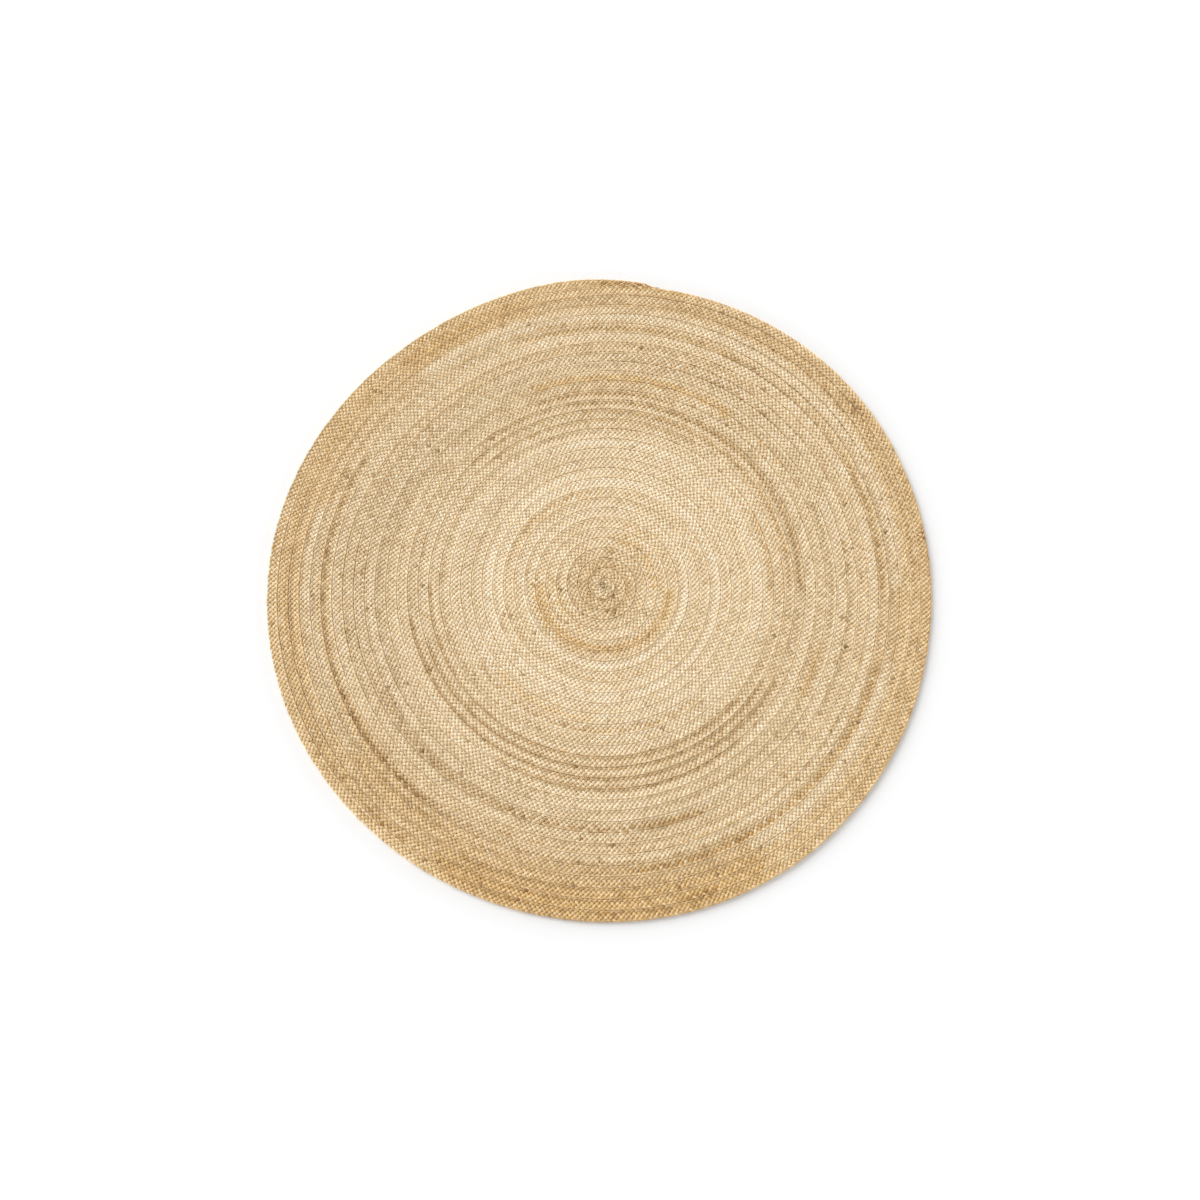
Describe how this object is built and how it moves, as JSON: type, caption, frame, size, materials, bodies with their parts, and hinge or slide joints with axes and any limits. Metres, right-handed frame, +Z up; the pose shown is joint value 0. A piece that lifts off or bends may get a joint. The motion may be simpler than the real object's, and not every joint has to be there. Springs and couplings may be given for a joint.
{
  "type": "round plaited rug",
  "caption": "Round flat rug of natural jute: a flat plait wound in a spiral, each round sewn to the one inside it with thread in the grooves between them.",
  "frame": {"origin": "middle of the rug's outline, on its underside", "axes": "+Z up out of the walked-on face, -Y towards the viewer, and the plait's outer end at 81 degrees from +X towards +Y"},
  "size_m": [1.1982, 1.2091, 0.0075],
  "materials": {
    "jute_strand": "matte",
    "jute_thread": "matte"
  },
  "bodies": {
    "root": {"plait_1_strand_a": "jute_strand", "plait_1_strand_b": "jute_strand", "plait_1_strand_c": "jute_strand", "plait_1_strand_d": "jute_strand", "plait_1_strand_e": "jute_strand", "plait_2_strand_a": "jute_strand", "plait_2_strand_b": "jute_strand", "plait_2_strand_c": "jute_strand", "plait_2_strand_d": "jute_strand", "plait_2_strand_e": "jute_strand", "plait_3_strand_a": "jute_strand", "plait_3_strand_b": "jute_strand", "plait_3_strand_c": "jute_strand", "plait_3_strand_d": "jute_strand", "plait_3_strand_e": "jute_strand", "plait_4_strand_a": "jute_strand", "plait_4_strand_b": "jute_strand", "plait_4_strand_c": "jute_strand", "plait_4_strand_d": "jute_strand", "plait_4_strand_e": "jute_strand", "plait_5_strand_a": "jute_strand", "plait_5_strand_b": "jute_strand", "plait_5_strand_c": "jute_strand", "plait_5_strand_d": "jute_strand", "plait_5_strand_e": "jute_strand", "plait_6_strand_a": "jute_strand", "plait_6_strand_b": "jute_strand", "plait_6_strand_c": "jute_strand", "plait_6_strand_d": "jute_strand", "plait_6_strand_e": "jute_strand", "plait_7_strand_a": "jute_strand", "plait_7_strand_b": "jute_strand", "plait_7_strand_c": "jute_strand", "plait_7_strand_d": "jute_strand", "plait_7_strand_e": "jute_strand", "needle_thread": "jute_thread", "bobbin_thread_1": "jute_thread", "bobbin_thread_2": "jute_thread"}
  },
  "joints": []
}
